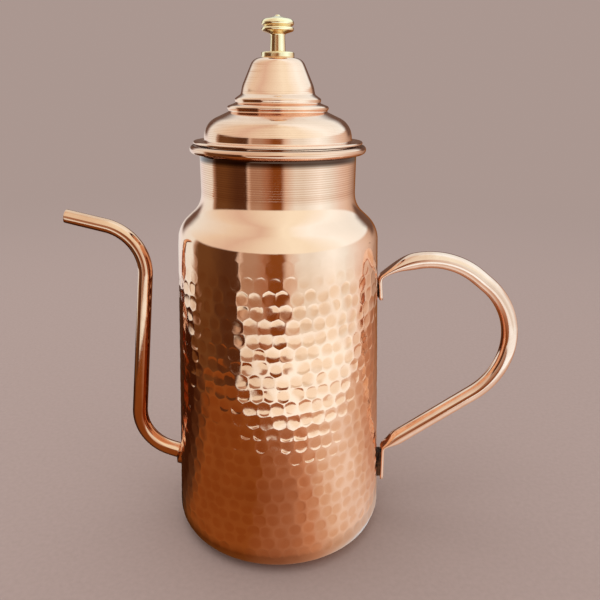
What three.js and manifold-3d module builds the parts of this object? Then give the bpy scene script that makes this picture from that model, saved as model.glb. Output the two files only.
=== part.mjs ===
// A hammered copper oil pot with a swan-neck spout, a loop handle and a lift-off lid.
// Millimetres, +Z up. The pot's axis is Z and its flat base stands on Z = 0,
// the spout points along -X and the handle along +X.

import * as THREE from 'three';
import { mergeVertices } from 'three/addons/utils/BufferGeometryUtils.js';
import Module from 'manifold-3d';

const wasm = await Module();
wasm.setup();

// Sheet and fits
const bodySheet = 0.8;
const lidSheet = 0.7;
const fitGap = 0.3;
const solderSkin = 0.1;

// Body: a tapered wall, a rounded shoulder and a straight neck
const baseRadius = 52.3;
const baseEdgeRadius = 9.5;
const shoulderRadius = 45.65;
const shoulderHeight = 153.3;
const shoulderRounding = 13;
const shoulderRise = 10;
const neckRadius = 34.65;
const neckRounding = 12;
const neckLength = 21.8;

// Rim: the neck's sheet flares out and rolls over a wire
const rimFlare = 1.4;
const rimFlareRounding = 1.6;
const rimRollRise = 1;
const rimWireRadius = 0.7;
const rimRollTurn = 300;

// Spout: a tapered tube that leaves the wall low down, rises and bends outward
const spoutRootHeight = 31.9;
const spoutRootRise = 18.7;
const spoutRootStraight = 6;
const spoutBendRadius = 22;
const spoutRiserLean = 6.4;
const spoutTipHeight = 156.5;
const spoutTipRise = 13.5;
const spoutTipStraight = 18.6;
const spoutRootRadius = 3.9;
const spoutTipRadius = 3.2;
const spoutBoreRootRadius = 2.75;
const spoutBoreTipRadius = 2.4;
const spoutSolderReach = 2.2;
const spoutSolderHeight = 1.6;
const spoutSolderEdge = 0.55;
const spoutSolderWaist = { out: 1, up: 1.1 };

// Handle: a slightly tapered tube, thinner and pressed flat at both ends, which are bent
// down along the wall. Its two round corners are measured from the bends that they lead to.
const handleUpperRadius = 4;
const handleLowerRadius = 3.8;
const handleEndRadius = 2.5;
const handleTubeWall = 0.7;
const handleSlit = 0.2;
const handleSwelling = { upper: 18, lower: 9 };
const handleBendRadius = 3;
const handleTopDrop = 25;
const handleFootHeight = 36;
const handleUpperCorner = { out: 24.4, up: 18.5, rounding: 36.5 };
const handleLowerCorner = { out: 83.1, up: 59, rounding: 36 };
const upperTab = { standOff: 1.3, length: 10.6, splay: 2.7 };
const lowerTab = { standOff: 3.2, length: 18.3, splay: -1.7 };
const upperSolder = { drop: 4, endMargin: 1.2 };
const lowerSolder = { drop: 2.4, endMargin: 1.6 };

// Lid: heights are above the face that rests on the rim
const lidFlangeOverRim = 0.15;
const lidHemWidth = 2.4;
const lidFlangeCorner = 0.5;
const lidWallInset = 0.95;
const lidDomeHeight = 8.5;
const lidDomeRounding = 9;
const lidInnerBend = 0.3;
const lidHollow = 0.5;
const lidRidge = { radius: 22.7, foot: 21.2, height: 13.6, rise: 1.9 };
const lidBead = { radius: 18.9, foot: 18.3, height: 17.1, rise: 1.6 };
const lidBell = { radius: 16.1, height: 20.6, rounding: 1.2 };
const lidBelly = { radius: 15.45, height: 23.9, rounding: 12 };
const lidCrown = { radius: 10.4, height: 35.2, rounding: 4.4 };
const plugClearance = 0.5;
const plugSheet = 0.8;
const plugDepth = 11;
const plugSolderSize = 0.9;

// Knob: a turned finial on a broad washer, held by a screw from inside the lid
const knobColumn = { footRadius: 3.3, topRadius: 3.05, height: 7.1, rounding: 0.8 };
const knobDiscRadius = 6.8;
const knobDiscEdge = 0.8;
const knobLowerDisc = 2.4;
const knobGroove = { radius: 5.6, height: 1.1 };
const knobUpperDisc = 1.9;
const knobTopEdge = 1.6;
const knobCrown = 1.5;
const knobNipple = { radius: 1, height: 0.45 };
const knobWasherRadius = 7;
const knobWasherThickness = 2.2;
const screwRadius = 1.5;
const screwGrip = 8;
const screwHeadRadius = 2.9;
const screwHeadHeight = 2;
const screwSlot = { width: 0.8, depth: 0.9 };
const innerWasherRadius = 5;
const innerWasherThickness = 0.8;

// Fineness of the round shapes
const turns = 36;
const knobTurns = 24;
const tubeSides = 12;
const arcTolerance = 0.12;
const pathStep = 6;
const rollStep = 30;
const wireStep = 60;

// Materials
const copper = { color: 0xc98058, roughness: 0.22, metalness: 1 };
const brass = { color: 0xd8c078, roughness: 0.25, metalness: 1 };
const solder = { color: 0x4a3324, roughness: 0.6, metalness: 0.6 };
const steel = { color: 0x9a9a98, roughness: 0.4, metalness: 1 };

const rad = THREE.MathUtils.degToRad;

// Heights that follow from the sizes above
const neckFoot = shoulderHeight + shoulderRise;
const rollHollowRadius = rimWireRadius + fitGap;
const rollRadius = rollHollowRadius + bodySheet;
const rollCentre = new THREE.Vector2(
  neckRadius + rimFlare + rollHollowRadius,
  neckFoot + neckLength + rimFlare + rimRollRise
);
const lidSeat = rollCentre.y + rollRadius + fitGap;
const crownTop = lidSeat + lidCrown.height;
const hemThickness = 2 * lidSheet;
const halfTab = handleTubeWall + handleSlit / 2;
const wallLean = Math.atan((baseRadius - shoulderRadius) / shoulderHeight);
const plugOuterRadius = neckRadius - bodySheet - plugClearance;
const plugTop = lidSeat + lidSheet;
const screwHole = screwRadius + fitGap;

// Outer radius of the tapered wall at a height
function wallRadius(height) {
  return baseRadius - height * Math.tan(wallLean);
}

// A polyline of [x, y, rounding] corners with each corner rounded by an arc.
// Where two neighbouring arcs need more than their leg, both shrink to share it.
function roundCorners(corners) {
  const places = corners.map(([x, y]) => new THREE.Vector2(x, y));
  const turnAt = (i) => {
    const into = places[i].clone().sub(places[i - 1]);
    return into.angleTo(places[i + 1].clone().sub(places[i]));
  };
  const setbacks = corners.map(([, , rounding = 0], i) =>
    rounding === 0 ? 0 : rounding * Math.tan(turnAt(i) / 2)
  );
  const share = (i) => {
    const needed = setbacks[i] + setbacks[i + 1];
    return needed === 0 ? 1 : Math.min(1, places[i].distanceTo(places[i + 1]) / needed);
  };
  const points = [];
  corners.forEach(([, , rounding = 0], i) => {
    const corner = places[i];
    if (rounding === 0) {
      points.push(corner);
      return;
    }
    const scale = Math.min(share(i - 1), share(i));
    const back = places[i - 1].clone().sub(corner).normalize();
    const side = Math.sign(back.cross(places[i + 1].clone().sub(corner)));
    const start = corner.clone().addScaledVector(back, setbacks[i] * scale);
    const inward = new THREE.Vector2(-back.y, back.x).multiplyScalar(side * rounding * scale);
    const centre = start.clone().add(inward);
    const widest = 2 * Math.acos(Math.max(0, 1 - arcTolerance / (rounding * scale)));
    const steps = Math.ceil(turnAt(i) / widest);
    for (let k = 0; k <= steps; k += 1) {
      points.push(start.clone().rotateAround(centre, (-side * turnAt(i) * k) / steps));
    }
  });
  const apart = arcTolerance / 10;
  return points.filter((point, i) => i === 0 || point.distanceTo(points[i - 1]) > apart);
}

// Points of an arc, angles in degrees
function arc(centre, radius, from, to, step) {
  const steps = Math.round(Math.abs(to - from) / step);
  return Array.from({ length: steps + 1 }, (unused, k) => {
    const angle = rad(from + ((to - from) * k) / steps);
    return new THREE.Vector2(radius, 0).rotateAround(new THREE.Vector2(), angle).add(centre);
  });
}

// The line that runs beside another at a distance, to its left when the distance is positive
function offsetLine(points, distance) {
  return points.map((point, i) => {
    const before = points[Math.max(i - 1, 0)];
    const after = points[Math.min(i + 1, points.length - 1)];
    const into = point.clone().sub(before).normalize();
    const out = after.clone().sub(point).normalize();
    const along = into.add(out).normalize();
    const across = new THREE.Vector2(-along.y, along.x);
    const stretch = 1 / (along.dot(out) || 1);
    return point.clone().addScaledVector(across, distance * stretch);
  });
}

// A solid turned about Z from its outline of (radius, height) points
function turned(outline, segments = turns) {
  return new THREE.LatheGeometry(outline, segments).rotateX(Math.PI / 2);
}

// The same with an outline that doesn't touch the axis, closed on itself
function turnedRing(outline, segments = turns) {
  return turned([...outline, outline[0]], segments);
}

function rectangleOutline(innerRadius, outerRadius, bottom, top) {
  return [
    new THREE.Vector2(innerRadius, bottom),
    new THREE.Vector2(outerRadius, bottom),
    new THREE.Vector2(outerRadius, top),
    new THREE.Vector2(innerRadius, top),
  ];
}

function toSolid(geometry) {
  const bare = geometry.clone();
  bare.deleteAttribute('normal');
  bare.deleteAttribute('uv');
  const merged = mergeVertices(bare, 1e-4);
  const vertProperties = new Float32Array(merged.attributes.position.array);
  const triVerts = new Uint32Array(merged.index.array);
  const mesh = new wasm.Mesh({ numProp: 3, vertProperties, triVerts });
  mesh.merge();
  return new wasm.Manifold(mesh);
}

function toGeometry(solid) {
  const mesh = solid.getMesh();
  const geometry = new THREE.BufferGeometry();
  geometry.setAttribute('position', new THREE.BufferAttribute(mesh.vertProperties, 3));
  geometry.setIndex(new THREE.BufferAttribute(mesh.triVerts, 1));
  geometry.computeVertexNormals();
  return geometry;
}

function cut(geometry, ...tools) {
  return toGeometry(tools.reduce((rest, tool) => rest.subtract(toSolid(tool)), toSolid(geometry)));
}

// The space inside the tapered wall's outer face, grown by the fit gap
function wallSpace() {
  const low = -baseEdgeRadius;
  const high = shoulderHeight;
  return turned([
    new THREE.Vector2(0, low),
    new THREE.Vector2(wallRadius(low) + fitGap, low),
    new THREE.Vector2(wallRadius(high) + fitGap, high),
    new THREE.Vector2(0, high),
  ]);
}

// Stations along a path in the XZ plane: place, direction and distance from the start
function stations(points) {
  const dense = [points[0]];
  for (const point of points.slice(1)) {
    const last = dense[dense.length - 1];
    const parts = Math.max(1, Math.round(last.distanceTo(point) / pathStep));
    for (let k = 1; k <= parts; k += 1) {
      dense.push(last.clone().lerp(point, k / parts));
    }
  }
  let distance = 0;
  return dense.map((place, i) => {
    const before = dense[Math.max(i - 1, 0)];
    const after = dense[Math.min(i + 1, dense.length - 1)];
    distance += place.distanceTo(before);
    return { place, heading: after.clone().sub(before).angle(), distance };
  });
}

// A section of a tube pressed flat: two flats joined by half rounds, its girth kept
function flattenedSection(tubeRadius, halfThickness, shrink) {
  const halfFlat = (Math.PI / 2) * (tubeRadius - halfThickness);
  return Array.from({ length: tubeSides }, (unused, k) => {
    const angle = ((k + 0.5) * 2 * Math.PI) / tubeSides;
    const round = halfThickness - shrink;
    const flat = Math.sign(Math.sin(angle)) * halfFlat;
    return new THREE.Vector2(round * Math.cos(angle), flat + round * Math.sin(angle));
  });
}

// An open-ended tube along stations, with outer and inner sections given by distance
function sweptTube(path, outerAt, innerAt) {
  const positions = [];
  for (const sectionAt of [outerAt, innerAt]) {
    for (const { place, heading, distance } of path) {
      for (const { x: across, y: aside } of sectionAt(distance)) {
        const x = place.x - across * Math.sin(heading);
        positions.push(x, aside, place.y + across * Math.cos(heading));
      }
    }
  }
  const index = [];
  const last = path.length - 1;
  const inner = path.length * tubeSides;
  const quad = (a, b, c, d) => index.push(a, b, c, a, c, d);
  for (let k = 0; k < tubeSides; k += 1) {
    const next = (k + 1) % tubeSides;
    for (let i = 0; i < last; i += 1) {
      const here = i * tubeSides;
      const there = here + tubeSides;
      quad(here + k, there + k, there + next, here + next);
      quad(inner + here + k, inner + here + next, inner + there + next, inner + there + k);
    }
    const end = last * tubeSides;
    quad(k, next, inner + next, inner + k);
    quad(end + k, inner + end + k, inner + end + next, end + next);
  }
  const geometry = new THREE.BufferGeometry();
  geometry.setAttribute('position', new THREE.Float32BufferAttribute(positions, 3));
  geometry.setIndex(index);
  return geometry;
}

// The spout's frame at its root: the point on the wall and the way that the tube leaves it
const spoutRoot = new THREE.Vector2(-wallRadius(spoutRootHeight), spoutRootHeight);
const spoutRootHeading = rad(180 - spoutRootRise);
const spoutRootWay = new THREE.Vector2(Math.cos(spoutRootHeading), Math.sin(spoutRootHeading));

// A solid turned about Z, laid along the spout's root with its foot on the wall
function alongSpoutRoot(geometry) {
  return geometry
    .rotateY(Math.PI / 2 - spoutRootHeading)
    .translate(spoutRoot.x, 0, spoutRoot.y);
}

function bodyShell() {
  const neckTop = neckFoot + neckLength;
  const outside = [
    ...roundCorners([
      [0, 0],
      [baseRadius, 0, baseEdgeRadius],
      [shoulderRadius, shoulderHeight, shoulderRounding],
      [neckRadius, neckFoot, neckRounding],
      [neckRadius, neckTop, rimFlareRounding],
      [neckRadius + rimFlare, neckTop + rimFlare, rimFlareRounding],
      [neckRadius + rimFlare, rollCentre.y],
    ]).slice(0, -1),
    ...arc(rollCentre, rollHollowRadius, 180, 180 - rimRollTurn, rollStep),
  ];
  const inside = offsetLine(outside, bodySheet).reverse();
  const reach = spoutBoreRootRadius + bodySheet;
  const hole = alongSpoutRoot(
    turned(
      [
        new THREE.Vector2(0, -reach),
        new THREE.Vector2(spoutBoreRootRadius, -reach),
        new THREE.Vector2(spoutBoreRootRadius, reach),
        new THREE.Vector2(0, reach),
      ],
      knobTurns
    )
  );
  return cut(turned([...outside, ...inside]), hole);
}

function rimWire() {
  return turnedRing(arc(rollCentre, rimWireRadius, 0, 360 - wireStep, wireStep));
}

// The spout's middle line, from just inside the wall to the tip
function spoutLine() {
  const riserHeading = rad(90 - spoutRiserLean);
  const tipHeading = rad(180 - spoutTipRise);
  const lowerLeg = spoutBendRadius * Math.tan((spoutRootHeading - riserHeading) / 2);
  const upperLeg = spoutBendRadius * Math.tan((tipHeading - riserHeading) / 2);
  const foot = spoutRoot.clone().addScaledVector(spoutRootWay, spoutRootStraight + lowerLeg);
  const tipRun = spoutTipStraight + upperLeg;
  const riserRise = spoutTipHeight - tipRun * Math.sin(tipHeading) - foot.y;
  const bendX = foot.x + riserRise / Math.tan(riserHeading);
  const start = spoutRoot.clone().addScaledVector(spoutRootWay, -spoutRootStraight);
  return roundCorners([
    [start.x, start.y],
    [foot.x, foot.y, spoutBendRadius],
    [bendX, foot.y + riserRise, spoutBendRadius],
    [bendX + tipRun * Math.cos(tipHeading), spoutTipHeight],
  ]);
}

function spoutTube() {
  const path = stations(spoutLine());
  const length = path[path.length - 1].distance;
  const sectionFrom = (rootRadius, tipRadius) => (distance) => {
    const radius = THREE.MathUtils.lerp(rootRadius, tipRadius, distance / length);
    return flattenedSection(radius, radius, 0);
  };
  const tube = sweptTube(
    path,
    sectionFrom(spoutRootRadius, spoutTipRadius),
    sectionFrom(spoutBoreRootRadius, spoutBoreTipRadius)
  );
  return cut(tube, wallSpace());
}

// The fillet of solder round the spout's root
function spoutSolderRing() {
  const inner = spoutRootRadius + fitGap;
  const reach = inner + spoutSolderReach;
  const below = -(spoutSolderReach + spoutSolderHeight);
  const fillet = alongSpoutRoot(
    turnedRing(
      [
        new THREE.Vector2(inner, below),
        new THREE.Vector2(reach, below),
        new THREE.Vector2(reach, fitGap + spoutSolderEdge),
        new THREE.Vector2(inner + spoutSolderWaist.out, fitGap + spoutSolderWaist.up),
        new THREE.Vector2(inner, spoutSolderHeight + fitGap),
      ],
      knobTurns
    )
  );
  return cut(fillet, wallSpace());
}

// A flattened end of the handle: its bend, its free end and the way down along it
function handleTab(bendHeight, tab) {
  const lean = wallLean + rad(tab.splay);
  const bend = new THREE.Vector2(wallRadius(bendHeight) + tab.standOff, bendHeight);
  const way = new THREE.Vector2(Math.sin(lean), -Math.cos(lean));
  return { bend, way, end: bend.clone().addScaledVector(way, tab.length), lean };
}

const upperEnd = handleTab(shoulderHeight - handleTopDrop, upperTab);
const lowerEnd = handleTab(handleFootHeight, lowerTab);

// The handle's middle line: tab, two round corners with a straight run, and tab
function handleLine() {
  const corner = ({ bend }, { out, up, rounding }) => [bend.x + out, bend.y + up, rounding];
  return roundCorners([
    [upperEnd.end.x, upperEnd.end.y],
    [upperEnd.bend.x, upperEnd.bend.y, handleBendRadius],
    corner(upperEnd, handleUpperCorner),
    corner(lowerEnd, handleLowerCorner),
    [lowerEnd.bend.x, lowerEnd.bend.y, handleBendRadius],
    [lowerEnd.end.x, lowerEnd.end.y],
  ]);
}

function handleTube() {
  const path = stations(handleLine());
  const length = path[path.length - 1].distance;
  const sectionAt = (shrink) => (distance) => {
    const fromUpper = distance - upperTab.length;
    const fromLower = length - distance - lowerTab.length;
    const swollen = Math.min(
      THREE.MathUtils.smoothstep(fromUpper, 0, handleSwelling.upper),
      THREE.MathUtils.smoothstep(fromLower, 0, handleSwelling.lower)
    );
    const fullRadius = THREE.MathUtils.lerp(handleUpperRadius, handleLowerRadius, distance / length);
    const tubeRadius = THREE.MathUtils.lerp(handleEndRadius, fullRadius, swollen);
    const halfThickness = THREE.MathUtils.lerp(halfTab, tubeRadius, swollen);
    return flattenedSection(tubeRadius, halfThickness, shrink);
  };
  return sweptTube(path, sectionAt(0), sectionAt(handleTubeWall));
}

// The bed of solder that fills the space between a tab and the wall
function tabSolder(end, tab, bed) {
  const outerFace = halfTab + solderSkin;
  const depth = 2 * tab.standOff;
  const width = Math.PI * (handleEndRadius - halfTab);
  const length = tab.length - bed.drop - bed.endMargin;
  const block = new THREE.BoxGeometry(depth, width, length);
  const middle = end.bend.clone().addScaledVector(end.way, bed.drop + length / 2);
  block.translate(-outerFace - depth / 2, 0, 0);
  block.rotateY(-end.lean);
  block.translate(middle.x, 0, middle.y);
  return cut(block, wallSpace());
}

function lidShell() {
  const flangeTop = lidSeat + hemThickness;
  const flangeRadius = rollCentre.x + lidFlangeOverRim;
  const wallFoot = plugOuterRadius - lidWallInset;
  const tip = lidInnerBend + lidSheet;
  const heightOf = (height) => lidSeat + height;
  const top = roundCorners([
    [screwHole, crownTop],
    [lidCrown.radius, crownTop, lidCrown.rounding],
    [lidBelly.radius, heightOf(lidBelly.height), lidBelly.rounding],
    [lidBell.radius, heightOf(lidBell.height), lidBell.rounding],
    [lidBead.radius, heightOf(lidBead.height + lidBead.rise), tip],
    [lidBead.foot, heightOf(lidBead.height), lidHollow],
    [lidRidge.radius, heightOf(lidRidge.height + lidRidge.rise), tip],
    [lidRidge.foot, heightOf(lidRidge.height), lidHollow],
    [wallFoot, heightOf(lidDomeHeight), lidDomeRounding],
    [wallFoot, flangeTop, lidFlangeCorner],
    [flangeRadius - lidSheet, flangeTop],
  ]);
  const under = offsetLine(top, -lidSheet).slice(0, -1);
  const edge = arc(
    new THREE.Vector2(flangeRadius - lidSheet, lidSeat + lidSheet),
    lidSheet,
    90 - rollStep,
    -90,
    rollStep
  );
  const hemEnd = flangeRadius - lidHemWidth;
  const hem = [
    new THREE.Vector2(hemEnd, lidSeat),
    new THREE.Vector2(hemEnd, lidSeat + lidSheet),
  ];
  return turnedRing([...top, ...edge, ...hem, ...under.reverse()].reverse());
}

function lidPlugRing() {
  const inner = plugOuterRadius - plugSheet;
  return turnedRing(rectangleOutline(inner, plugOuterRadius, plugTop - plugDepth, plugTop));
}

// The fillet of solder in the outer corner between the plug ring and the flange
function lidPlugSolder() {
  const inner = plugOuterRadius + fitGap;
  return turnedRing([
    new THREE.Vector2(inner, plugTop - plugSolderSize),
    new THREE.Vector2(inner + plugSolderSize / 3, plugTop - plugSolderSize),
    new THREE.Vector2(inner + plugSolderSize, plugTop),
    new THREE.Vector2(inner, plugTop),
  ]);
}

const knobFoot = crownTop + knobWasherThickness;

function knob() {
  const columnTop = knobFoot + knobColumn.height;
  const lowerTop = columnTop + knobLowerDisc;
  const upperFoot = lowerTop + knobGroove.height;
  const upperTop = upperFoot + knobUpperDisc;
  const crown = upperTop + knobCrown;
  const outline = roundCorners([
    [screwHole, knobFoot],
    [knobColumn.footRadius, knobFoot],
    [knobColumn.topRadius, columnTop, knobColumn.rounding],
    [knobDiscRadius, columnTop + knobLowerDisc / 2, knobDiscEdge],
    [knobDiscRadius, lowerTop, knobDiscEdge],
    [knobGroove.radius, lowerTop + knobGroove.height / 2],
    [knobDiscRadius, upperFoot, knobDiscEdge],
    [knobDiscRadius, upperTop, knobTopEdge],
    [knobNipple.radius, crown],
    [knobNipple.radius, crown + knobNipple.height],
    [0, crown + knobNipple.height],
  ]);
  const holeTop = knobFoot + screwGrip + fitGap;
  const bore = [new THREE.Vector2(0, holeTop), new THREE.Vector2(screwHole, holeTop)];
  return turned([...bore, ...outline], knobTurns);
}

function knobSeatWasher() {
  return turnedRing(rectangleOutline(screwHole, knobWasherRadius, crownTop, knobFoot), knobTurns);
}

const innerWasherTop = crownTop - lidSheet;
const screwHeadTop = innerWasherTop - innerWasherThickness;

function knobInnerWasher() {
  const outline = rectangleOutline(screwHole, innerWasherRadius, screwHeadTop, innerWasherTop);
  return turnedRing(outline, knobTurns);
}

function knobScrew() {
  const headBottom = screwHeadTop - screwHeadHeight;
  const screw = turned(
    [
      new THREE.Vector2(0, headBottom),
      new THREE.Vector2(screwHeadRadius, headBottom),
      new THREE.Vector2(screwHeadRadius, screwHeadTop),
      new THREE.Vector2(screwRadius, screwHeadTop),
      new THREE.Vector2(screwRadius, knobFoot + screwGrip),
      new THREE.Vector2(0, knobFoot + screwGrip),
    ],
    knobTurns
  );
  const slot = new THREE.BoxGeometry(screwSlot.width, 3 * screwHeadRadius, 2 * screwSlot.depth);
  return cut(screw, slot.translate(0, 0, headBottom));
}

function piece(name, geometry, look) {
  const mesh = new THREE.Mesh(geometry, new THREE.MeshStandardMaterial(look));
  mesh.name = name;
  return mesh;
}

const oilPot = new THREE.Group();
const pot = new THREE.Group();
const lid = new THREE.Group();

pot.add(
  piece('body_shell', bodyShell(), copper),
  piece('rim_wire', rimWire(), steel),
  piece('spout_tube', spoutTube(), copper),
  piece('spout_solder_ring', spoutSolderRing(), solder),
  piece('handle_tube', handleTube(), copper),
  piece('handle_solder_upper', tabSolder(upperEnd, upperTab, upperSolder), solder),
  piece('handle_solder_lower', tabSolder(lowerEnd, lowerTab, lowerSolder), solder)
);

lid.add(
  piece('lid_shell', lidShell(), copper),
  piece('lid_plug_ring', lidPlugRing(), copper),
  piece('lid_plug_solder', lidPlugSolder(), solder),
  piece('knob', knob(), brass),
  piece('knob_seat_washer', knobSeatWasher(), brass),
  piece('knob_inner_washer', knobInnerWasher(), steel),
  piece('knob_screw', knobScrew(), steel)
);

oilPot.add(pot, lid);

export default oilPot;
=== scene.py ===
import math
import random
from bisect import bisect_left

import bmesh
import bpy
from bpy.props import FloatProperty, FloatVectorProperty, IntProperty, PointerProperty
from mathutils import Matrix, Vector, noise
from mathutils.kdtree import KDTree


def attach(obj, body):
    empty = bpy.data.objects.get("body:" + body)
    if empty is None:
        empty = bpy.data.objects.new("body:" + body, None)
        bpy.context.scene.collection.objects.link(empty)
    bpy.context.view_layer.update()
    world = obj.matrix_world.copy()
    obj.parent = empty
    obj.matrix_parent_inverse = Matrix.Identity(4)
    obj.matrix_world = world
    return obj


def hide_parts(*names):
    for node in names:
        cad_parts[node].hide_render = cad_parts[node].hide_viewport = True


bl_info = {
    "name": "Hammered copper oil pot",
    "version": (1, 0, 0),
    "blender": (4, 5, 0),
    "location": "View3D > Sidebar > Oil pot",
    "description": "Builds a hammered copper oil pot with spout, handle and lift-off lid",
    "category": "Add Mesh",
}

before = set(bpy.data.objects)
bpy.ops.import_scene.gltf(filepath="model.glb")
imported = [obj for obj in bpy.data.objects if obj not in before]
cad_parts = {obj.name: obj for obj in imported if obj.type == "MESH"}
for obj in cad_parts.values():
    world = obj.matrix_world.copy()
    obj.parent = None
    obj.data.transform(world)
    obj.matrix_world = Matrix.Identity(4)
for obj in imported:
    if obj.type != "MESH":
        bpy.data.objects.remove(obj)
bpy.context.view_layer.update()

MM = 0.001
TURN = 2 * math.pi

# How far a chord may cut off a rounded corner
FINE_SAG = 0.015 * MM
INSIDE_SAG = 0.06 * MM
KNOB_SAG = 0.006 * MM

# Steps in a full turn of each turned piece, and sides of the two tubes
NECK_STEPS = 156
LID_STEPS = 240
SKIRT_STEPS = 144
KNOB_STEPS = 96
INNER_WASHER_STEPS = 64
SPOUT_SIDES = 40
HANDLE_SIDES = 32


# Sizes and colours


def number(name, description, default, **kind):
    return FloatProperty(name=name, description=description, default=default, **kind)


def length(name, description, millimetres):
    kind = {"precision": 5, "subtype": "DISTANCE", "unit": "LENGTH"}
    return number(name, description, millimetres * MM, **kind)


def angle(name, description, degrees):
    return number(name, description, math.radians(degrees), subtype="ANGLE", unit="ROTATION")


def share(name, description, default):
    return number(name, description, default, min=0.0, max=1.0, subtype="FACTOR")


def count(name, description, default):
    return IntProperty(name=name, description=description, default=default, min=1)


def colour(name, description, default):
    kind = {"size": 3, "min": 0.0, "max": 1.0, "subtype": "COLOR"}
    return FloatVectorProperty(name=name, description=description, default=default, **kind)


class PotSizes(bpy.types.PropertyGroup):
    """Sizes of the pot's body."""

    sheet: length("Sheet", "Thickness of the copper sheet", 0.8)
    fit_gap: length("Fit gap", "Gap between pieces that are joined", 0.3)
    base_radius: length("Base radius", "Radius of the wall carried down to the floor", 52.3)
    base_edge: length("Base edge", "Rounding of the base's edge", 9.5)
    shoulder_radius: length("Shoulder radius", "Radius of the wall under the shoulder", 45.65)
    shoulder_height: length("Shoulder height", "Height of the shoulder's corner", 153.3)
    shoulder_rounding: length("Shoulder rounding", "Rounding of the shoulder", 13.0)
    shoulder_rise: length("Shoulder rise", "From the shoulder's corner to the neck's foot", 10.0)
    neck_radius: length("Neck radius", "Outer radius of the neck", 34.65)
    neck_rounding: length("Neck rounding", "Rounding at the neck's foot", 12.0)
    neck_length: length("Neck length", "Straight length of the neck", 21.8)
    rim_flare: length("Rim flare", "How far the rim opens before it rolls over", 1.4)
    rim_flare_rounding: length("Rim flare rounding", "Rounding of the flare", 1.6)
    rim_rise: length("Rim rise", "From the flare to the middle of the roll", 1.0)
    rim_wire: length("Rim wire", "Radius of the wire in the rolled rim", 0.7)
    rim_turn: angle("Rim turn", "How far the sheet is rolled round the wire", 300.0)
    groove_pitch: length("Groove pitch", "Spacing of the turned lines on the neck", 1.02)
    groove_depth: length("Groove depth", "Depth of the turned lines on the neck", 0.07)
    groove_foot: length("Groove foot", "Height of the lowest turned line", 168.8)
    groove_top: length("Groove top", "Height of the highest turned line", 184.4)


class HammerSizes(bpy.types.PropertyGroup):
    """Sizes of the hammer marks on the wall."""

    marks: count("Marks", "Hammer marks in one turn", 52)
    rows: count("Rows", "Rows of hammer marks", 23)
    pair_shift: share("Shift in a pair", "Shift from a row to its pair, in marks", 0.5)
    turn_shift: share("Shift of pairs", "Shift from one pair of rows to the next, in marks", 0.36)
    row_pitch: length("Row pitch", "Height from row to row", 6.08)
    lowest: length("Lowest row", "Height of the lowest row's middle", 10.74)
    tilt: number("Tilt", "Rise of the rows along X", 0.035)
    radius: length("Mark radius", "Radius of one mark", 3.3)
    depth: length("Mark depth", "Depth of one mark in its middle", 0.118)
    dish: number("Dish", "Power of the marks' hollow", 4.2)
    fade: length("Fade", "Height over which the marks die out at the top", 15.0)
    foot_fade: length("Foot fade", "Height over which the marks weaken at the base", 10.0)
    scatter: length("Scatter", "How far a mark strays from its place", 0.3)
    wobble: number("Wobble", "Slope by which marks lean", 0.032)
    unevenness: length("Unevenness", "Swing of the sheet's slight waves", 0.07)
    wave: length("Wave", "Size of the sheet's slight waves", 16.0)
    seed: count("Seed", "Start of the random scatter", 7)


class SpoutSizes(bpy.types.PropertyGroup):
    """Sizes of the spout."""

    root_height: length("Root height", "Height at which the spout leaves the wall", 31.9)
    root_rise: angle("Root rise", "Rise of the spout at its root", 18.7)
    root_straight: length("Root straight", "Straight length at the root", 6.0)
    bend: length("Bend radius", "Radius of both bends", 22.0)
    lean: angle("Riser lean", "Lean of the long rise towards the wall", 6.4)
    tip_height: length("Tip height", "Height of the tip's middle", 156.5)
    tip_rise: angle("Tip rise", "Rise of the spout at its tip", 13.5)
    tip_straight: length("Tip straight", "Straight length at the tip", 18.6)
    root_radius: length("Root radius", "Outer radius at the root", 3.9)
    tip_radius: length("Tip radius", "Outer radius at the tip", 3.2)
    root_bore: length("Root bore", "Bore radius at the root", 2.75)
    tip_bore: length("Tip bore", "Bore radius at the tip", 2.4)


class HandleSizes(bpy.types.PropertyGroup):
    """Sizes of the handle."""

    upper_radius: length("Upper radius", "Radius of the tube near its upper end", 4.0)
    lower_radius: length("Lower radius", "Radius of the tube near its lower end", 3.8)
    end_radius: length("End radius", "Radius of the tube that the ends were pressed from", 2.5)
    wall: length("Tube wall", "Wall of the tube", 0.7)
    slit: length("Slit", "Slit left inside the flattened ends", 0.2)
    upper_swelling: length("Upper swelling", "Length in which the upper end becomes round", 18.0)
    lower_swelling: length("Lower swelling", "Length in which the lower end becomes round", 9.0)
    bend: length("Bend", "Radius of the sharp bends above the tabs", 3.0)
    top_drop: length("Top drop", "From the shoulder's corner down to the upper bend", 25.0)
    foot_height: length("Foot height", "Height of the lower bend", 36.0)
    upper_out: length("Upper corner out", "Upper corner outward of its bend", 24.4)
    upper_up: length("Upper corner up", "Upper corner above its bend", 18.5)
    upper_rounding: length("Upper rounding", "Rounding of the upper corner", 36.5)
    lower_out: length("Lower corner out", "Lower corner outward of its bend", 83.1)
    lower_up: length("Lower corner up", "Lower corner above its bend", 59.0)
    lower_rounding: length("Lower rounding", "Rounding of the lower corner", 36.0)
    upper_stand_off: length("Upper stand-off", "Upper bend outward of the wall", 1.3)
    upper_tab: length("Upper tab", "Length of the upper tab", 10.6)
    upper_splay: angle("Upper splay", "Turn of the upper tab away from the wall", 2.7)
    lower_stand_off: length("Lower stand-off", "Lower bend outward of the wall", 3.2)
    lower_tab: length("Lower tab", "Length of the lower tab", 18.3)
    lower_splay: angle("Lower splay", "Turn of the lower tab away from the wall", -1.7)


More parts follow.
